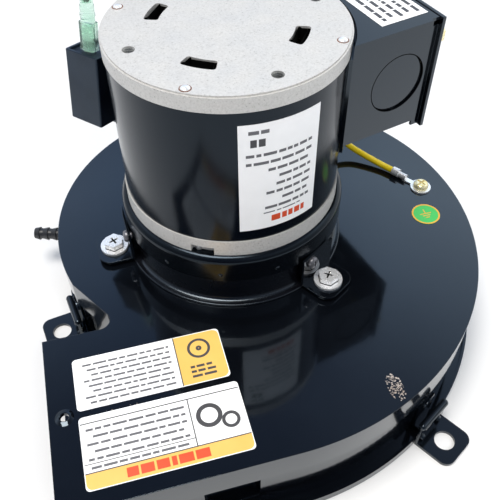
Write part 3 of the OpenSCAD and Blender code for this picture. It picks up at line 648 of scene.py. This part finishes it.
def make_ground_mark():
    """Gold rim and a plain ground sign, three bars under a stem, on the round green mark."""
    low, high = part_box("ground_mark")
    x, y = (low.x + high.x) / 2 / MM, (low.y + high.y) / 2 / MM
    radius, top = (high.x - low.x) / 2 / MM, high.z / MM
    new_piece("ground_mark_rim",
              *ring_slab(radius - 0.05, radius - 0.75, (x, y), top, top + SIGN_HEIGHT),
              "mark_gold", "ground_green")
    line = 0.22    # half the width of a stroke
    bars = [(-half, drop - line, half, drop + line) for half, drop in ((2.6, 0.3), (1.8, -0.9), (1.0, -2.1))]
    bars.append((-line, 0.5, line, 3.0))
    parts = [slab(box_corners(x + x0, y + y0, x + x1, y + y1), top, top + SIGN_HEIGHT)
             for x0, y0, x1, y1 in bars]
    new_piece("ground_mark_sign", *joined(parts), "mark_gold", "ground_green")


label_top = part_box("plate_labels")[1].z / MM
make_upper_label(label_top)
make_lower_label(label_top)
make_nameplate_print()
make_box_label_print()
make_ground_mark()


# ---------- Leads ----------

GROUND_LEAD_RADIUS = 1.45
CAPACITOR_LEAD_RADIUS = 1.1
GROUND_ROUTE = [(80, 11.4, 40.1), (76.5, 16.3, 40.3), (71, 23.2, 41.5), (65.6, 29.3, 43.5), (60, 34, 48),
                (55, 35.5, 56), (51, 33, 67), (48, 29, 78), (47, 27, 86), (47, 27, 93)]
FRONT_ROUTE = [(-43.5, 30.6, 131.8), (-42.6, 31.3, 138.9), (-38.5, 36.5, 141.5), (-31, 43, 143.5),
               (-22, 49.5, 140.5), (-12, 54, 133.5), (0, 53.5, 127), (8, 49.5, 123.8), (10.3, 44.5, 123),
               (9.1, 39.5, 123)]
REAR_ROUTE = [(-28, 45, 128.4), (-27.3, 45.6, 134.5), (-20.5, 48, 135.5), (-13.5, 49.5, 131.5),
              (-5.5, 50.5, 125.8), (2, 49.8, 121.3), (8, 47, 119.3), (10.1, 43, 119), (9.1, 39.5, 119)]


def make_lead(node, route, radius):
    """A round, smooth lead through its route, which stands for the CAD's jointed one."""
    path = smooth_path(metres(route), 8)
    piece = new_piece(node + "_smooth", *tube(path, radius * MM, 20), SLOT_OF[node])
    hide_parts(node)


make_lead("ground_lead", GROUND_ROUTE, GROUND_LEAD_RADIUS)
make_lead("capacitor_lead_front", FRONT_ROUTE, CAPACITOR_LEAD_RADIUS)
make_lead("capacitor_lead_rear", REAR_ROUTE, CAPACITOR_LEAD_RADIUS)


# ---------- Motor ----------

MOTOR_TOP = 133.0
QUARTERS = (0, 90, 180, 270)    # the holes, slots and bolts each repeat four times
TAPPED_AZIMUTH = 12.6
THREAD_PITCH, THREAD_DEPTH = 0.8, 0.34
BOLT_AZIMUTH, BOLT_REACH = 58.0, 39.6
SLOT_AZIMUTH = 57.0
SLOT_INNER, SLOT_OUTER = 23.2, 28.3
SLOT_MIDDLE = (SLOT_INNER + SLOT_OUTER) / 2
SLOT_HALF_ANGLE = 12.5
SLOT_CORNER = 0.9
# heights of the painted shade inside the vent slots, in millimetres
SLOT_SHADE_TOP, SLOT_SHADE_LOW = MOTOR_TOP - 0.25, MOTOR_TOP - 4.6


def make_threads():
    """Cut thread seen inside each tapped hole of the upper end bell, above a near-black disc of painted
    shade deep in the hole.
    """
    mount = MOUNTS["end_bell_tapped_holes"]
    top = mount["pos_m"][2] / MM - 0.25
    reach, hole = mount["dims"]["pcd_mm"] / 2, mount["dims"]["hole_r_mm"]
    crest, gap, steps = 0.02, 0.05, 9
    threads, shade_discs = [], []
    for quarter in QUARTERS:
        centre = polar(reach, TAPPED_AZIMUTH + quarter)
        heights = [top - THREAD_PITCH / 2 * step for step in range(steps)]
        rings = [placed(round_ring(hole - (THREAD_DEPTH if step % 2 else crest), z, 32), centre)
                 for step, z in enumerate(heights)]
        outer = [placed(round_ring(hole + crest, z, 32), centre) for z in (heights[-1], heights[0])]
        threads.append(closed_strip(rings + outer))
        # painted shade: a near-black disc deep in each hole
        shade_discs.append(loft([placed(round_ring(hole - gap, top - drop, 32), centre) for drop in (3.4, 3.1)]))
    new_piece("tapped_threads", *joined(threads), "thread_steel", "plain_steel")
    new_piece("tapped_shade_discs", *joined(shade_discs), "hole_shade", "cast_alloy")


def slot_outline(grow):
    """Outline inside one vent slot about +X, grown by a distance, in millimetres.

    Its corner arcs turn inward, so its long sides stand SLOT_CORNER inside the slot's own walls.
    """
    inner, outer = SLOT_INNER - grow, SLOT_OUTER + grow
    reach = math.radians(SLOT_HALF_ANGLE) * SLOT_MIDDLE + grow
    corners = ((inner, 1, -1, 180), (inner, 1, 1, 90), (outer, -1, 1, 0), (outer, -1, -1, 270))
    points = []
    for radius, into, side, start in corners:
        for step in range(5):
            a = math.radians(start - 22.5 * step)
            u = radius + into * SLOT_CORNER + SLOT_CORNER * math.cos(a)
            v = side * (reach - SLOT_CORNER) + SLOT_CORNER * math.sin(a)
            points.append((u, v / SLOT_MIDDLE))
    return [Vector((u * math.cos(v), u * math.sin(v), 0)) for u, v in points]


def make_slot_painted_shade():
    """Painted shade: a near-black sleeve inside the vent slots, from just below the top face."""
    outside, inside = slot_outline(-0.04), slot_outline(-0.1)
    section = ((outside, SLOT_SHADE_TOP), (inside, SLOT_SHADE_TOP), (inside, SLOT_SHADE_LOW), (outside, SLOT_SHADE_LOW))
    parts = []
    for quarter in QUARTERS:
        parts.append(closed_strip([placed([p + UP * z for p in wall], (0, 0, 0), turn=SLOT_AZIMUTH + quarter)
                                   for wall, z in section]))
    new_piece("slot_painted_shade", *joined(parts), "hole_shade", "cast_alloy")


def make_bolt_rings():
    """Thin brown ring of dried thread sealer round each bolt end."""
    section = ((2.0, MOTOR_TOP), (1.95, MOTOR_TOP + 0.07), (1.68, MOTOR_TOP + 0.09), (1.68, MOTOR_TOP))
    parts = []
    for quarter in QUARTERS:
        centre = polar(BOLT_REACH, BOLT_AZIMUTH + quarter)
        parts.append(closed_strip([placed(round_ring(r, z, 40), centre) for r, z in section]))
    new_piece("bolt_rings", *joined(parts), "brown_wire", "cast_alloy")


make_threads()
make_slot_painted_shade()
make_bolt_rings()


# ---------- Housing marks ----------

LEG_AZIMUTHS = (-177.5, -57.5, 62.5)
LEG_SCREW_RADIUS = 51.9
LEG_SCREW_TURN = 20
LEG_SCREW_HEIGHT = 3.6
HEX_WIDTH = 7
CROSS_HALF_LENGTH, CROSS_HALF_WIDTH = 1.6, 0.22
DIMPLE_AZIMUTHS = (-138, -110, -82)
DIMPLE_PLACE = (44.95, 55.6)    # radius and height
KNOCKOUT_PLACE = (57.25, -17.57)
KNOCKOUT_FACE = 0.58
HOUSING_TOP = 38
PATCH_CENTRE, PATCH_REACH = (35.2, -95.0), (3, 5.6)
SPECK_X, SPECK_Y = (-66, -50), (-78.2, -76.6)


def make_screw_shade():
    """Painted shade in each leg screw's cross recess and in the corner round its hexagon."""
    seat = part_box("leg_screws")[1].z / MM - LEG_SCREW_HEIGHT
    corner = HEX_WIDTH / math.sqrt(3)
    parts = []
    for azimuth in LEG_AZIMUTHS:
        centre, turn = polar(LEG_SCREW_RADIUS, azimuth), azimuth + LEG_SCREW_TURN
        for x, y in ((CROSS_HALF_LENGTH, CROSS_HALF_WIDTH), (CROSS_HALF_WIDTH, CROSS_HALF_LENGTH)):
            parts.append(loft([placed([(x, y, z), (-x, y, z), (-x, -y, z), (x, -y, z)], centre, turn=turn)
                               for z in (seat + 3.1, seat + 3.42)]))
        section = ((corner + 0.28, seat + 1.1), (corner + 0.02, seat + 1.34), (corner - 0.05, seat + 1.1))
        parts.append(closed_strip([placed(round_ring(r, z, 6), centre, turn=turn) for r, z in section]))
    new_piece("screw_shade", *joined(parts), "hole_shade", "zinc_plate")


def make_cup_dimples():
    """Small pressed pips round the wall of the motor cup."""
    radius, height = DIMPLE_PLACE
    parts = []
    for azimuth in DIMPLE_AZIMUTHS:
        centre = polar(radius, azimuth, height)
        parts.append(loft([placed(round_ring(r, out, 20), centre, polar(1.0, azimuth))
                           for r, out in ((0.95, -0.2), (0.9, 0.05), (0.6, 0.3), (0.25, 0.38))]))
    new_piece("cup_dimples", *joined(parts), "housing_paint", "housing_paint")


def make_knockout_gap_shade():
    """Painted shade: a thin dark ring on the box's face, all the way round the knockout, for the shade in
    its gap.
    """
    low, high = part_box("knockout")
    face = polar(1.0, BOX_AZIMUTH - 90)
    centre = Vector((*KNOCKOUT_PLACE, (low + high).z / 2 / MM)) + face * KNOCKOUT_FACE
    rings = [placed(round_ring(r, z, 64), centre, face)
             for r, z in ((11.1, 0.0), (11.1, 0.05), (11.42, 0.05), (11.42, 0.0))]
    new_piece("knockout_gap_shade", *closed_strip(rings), "hole_shade", SLOT_OF["junction_box"])


def make_outlet_dimple():
    """Raised rim pressed up round the collar screw hole by the outlet."""
    mount = MOUNTS["outlet_screw_hole"]
    centre, hole = Vector(mount["pos_m"]) / MM, mount["dims"]["r_mm"]
    section = ((0.02, -0.1), (0.05, 0.28), (0.35, 0.45), (0.9, 0.34), (1.5, 0.12), (1.8, 0.0), (1.8, -0.1))
    rings = [placed(round_ring(hole + r, z, 48), centre) for r, z in section]
    new_piece("outlet_dimple", *closed_strip(rings), "housing_paint", "housing_paint")


def blotch(centre, radius, seed):
    """Points and faces of a thin, ragged spot on the housing's top."""
    dice = random.Random(seed)
    outline = [(radius * dice.uniform(0.35, 1.0), 2 * math.pi * k / 14) for k in range(14)]
    x, y = centre
    return loft([[Vector((x + r * f * math.cos(a), y + r * f * math.sin(a), z)) * MM for r, a in outline]
                 for f, z in ((1, HOUSING_TOP - 0.02), (0.8, HOUSING_TOP + 0.05))])


def make_paint_flecks():
    """Pale residue in a loose patch near the front right of the housing's top, and specks by the labels."""
    dice = random.Random(17)
    x, y = PATCH_CENTRE
    across, along = PATCH_REACH
    parts = []
    for k in range(150):
        angle, reach = dice.uniform(0, 2 * math.pi), dice.random() ** 0.6
        centre = (x + across * reach * math.cos(angle), y + along * reach * math.sin(angle))
        parts.append(blotch(centre, dice.uniform(0.1, 0.5), k))
    for k in range(9):
        centre = (dice.uniform(*SPECK_X), dice.uniform(*SPECK_Y))
        parts.append(blotch(centre, dice.uniform(0.12, 0.4), 60 + k))
    new_piece("paint_flecks", *joined(parts), "dried_paint", "housing_paint")


make_screw_shade()
make_cup_dimples()
make_knockout_gap_shade()
make_outlet_dimple()
make_paint_flecks()


# ---------- Floor and light ----------

FLOOR_REACH = 9.0    # metres from the middle to each side
WORLD_STRENGTH = 2.1
MIX_A, MIX_B, MIX_RESULT = 6, 7, 2    # colour sockets of a mix node


def stage_floor():
    """Wide, flat, pale floor level with the feet."""
    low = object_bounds()[0][2]
    mesh = bpy.data.meshes.new("floor")
    corners = box_corners(-FLOOR_REACH, -FLOOR_REACH, FLOOR_REACH, FLOOR_REACH)
    mesh.from_pydata([(x, y, low) for x, y in corners], [], [(0, 1, 2, 3)])
    floor = bpy.data.objects.new("floor", mesh)
    bpy.context.scene.collection.objects.link(floor)
    shade = Shade("floor", (0.77, 0.77, 0.77), roughness=0.7)
    shade.colour(shade.noise(3, 2), (0.3, (0.76, 0.76, 0.76)), (0.7, (0.78, 0.78, 0.78)))
    shade.bump(shade.noise(300, 2), 0.02)
    mesh.materials.append(shade.material)


def area_light(name, place, target, size, watts, colour=(1, 1, 1)):
    data = bpy.data.lights.new(name, "AREA")
    data.shape = "RECTANGLE"
    data.size, data.size_y = size
    data.energy = watts
    data.color = colour
    light = bpy.data.objects.new(name, data)
    bpy.context.scene.collection.objects.link(light)
    light.location = place
    light.rotation_mode = "QUATERNION"
    light.rotation_quaternion = (Vector(target) - Vector(place)).to_track_quat("-Z", "Y")
    return light


def make_light():
    """A cool room, brighter to the right, dim overhead and behind the camera, and two soft panels."""
    world = bpy.data.worlds.new("studio")
    world.use_nodes = True
    tree = world.node_tree
    background = tree.nodes["Background"]
    place = tree.nodes.new("ShaderNodeTexCoord").outputs["Generated"]

    def toward(azimuth):
        """1 in the direction at an azimuth from the camera's, 0 in the opposite one."""
        aim = tree.nodes.new("ShaderNodeVectorMath")
        aim.operation = "DOT_PRODUCT"
        a = math.radians(CAMERA_AZIMUTH + azimuth)
        aim.inputs[1].default_value = (math.cos(a), math.sin(a), 0.0)
        tree.links.new(place, aim.inputs[0])
        half = tree.nodes.new("ShaderNodeMath")
        half.operation = "MULTIPLY_ADD"
        half.inputs[1].default_value = half.inputs[2].default_value = 0.5
        tree.links.new(aim.outputs["Value"], half.inputs[0])
        return half.outputs["Value"]

    sides = colour_ramp(tree, toward(-90), [
        (0.2, (0.6, 0.66, 0.75)), (0.42, (0.3, 0.42, 0.62)), (0.5, (0.36, 0.48, 0.68)),
        (0.6, (0.66, 0.8, 0.96)), (0.85, (0.9, 0.95, 1.0))])
    depth = colour_ramp(tree, toward(180), [
        (0.35, (1.0, 1.0, 1.0)), (0.6, (0.5, 0.5, 0.5)), (0.95, (0.22, 0.22, 0.23))])
    split = tree.nodes.new("ShaderNodeSeparateXYZ")
    tree.links.new(place, split.inputs["Vector"])
    heights = colour_ramp(tree, split.outputs["Z"], [
        (0.5, (0.5, 0.5, 0.5)), (0.66, (0.95, 0.95, 0.95)), (0.74, (0.7, 0.7, 0.72)),
        (0.84, (0.25, 0.25, 0.28)), (0.95, (0.12, 0.12, 0.14))])
    mixed = sides
    for factor in (depth, heights):
        both = tree.nodes.new("ShaderNodeMix")
        both.data_type, both.blend_type = "RGBA", "MULTIPLY"
        both.inputs["Factor"].default_value = 1.0
        tree.links.new(mixed, both.inputs[MIX_A])
        tree.links.new(factor, both.inputs[MIX_B])
        mixed = both.outputs[MIX_RESULT]
    tree.links.new(mixed, background.inputs["Color"])
    background.inputs["Strength"].default_value = WORLD_STRENGTH
    bpy.context.scene.world = world
    area_light("key", (-0.35, -0.1, 1.7), (0, -0.05, 0.05), (0.8, 0.8), 30, (1.0, 0.96, 0.9))
    fill = area_light("fill", (0.3, -1.2, 1.3), (0, 0, 0.05), (0.6, 0.6), 9, (1.0, 0.98, 0.95))
    fill.visible_glossy = False
    bpy.context.scene.view_settings.view_transform = "Standard"


stage_floor()
make_light()
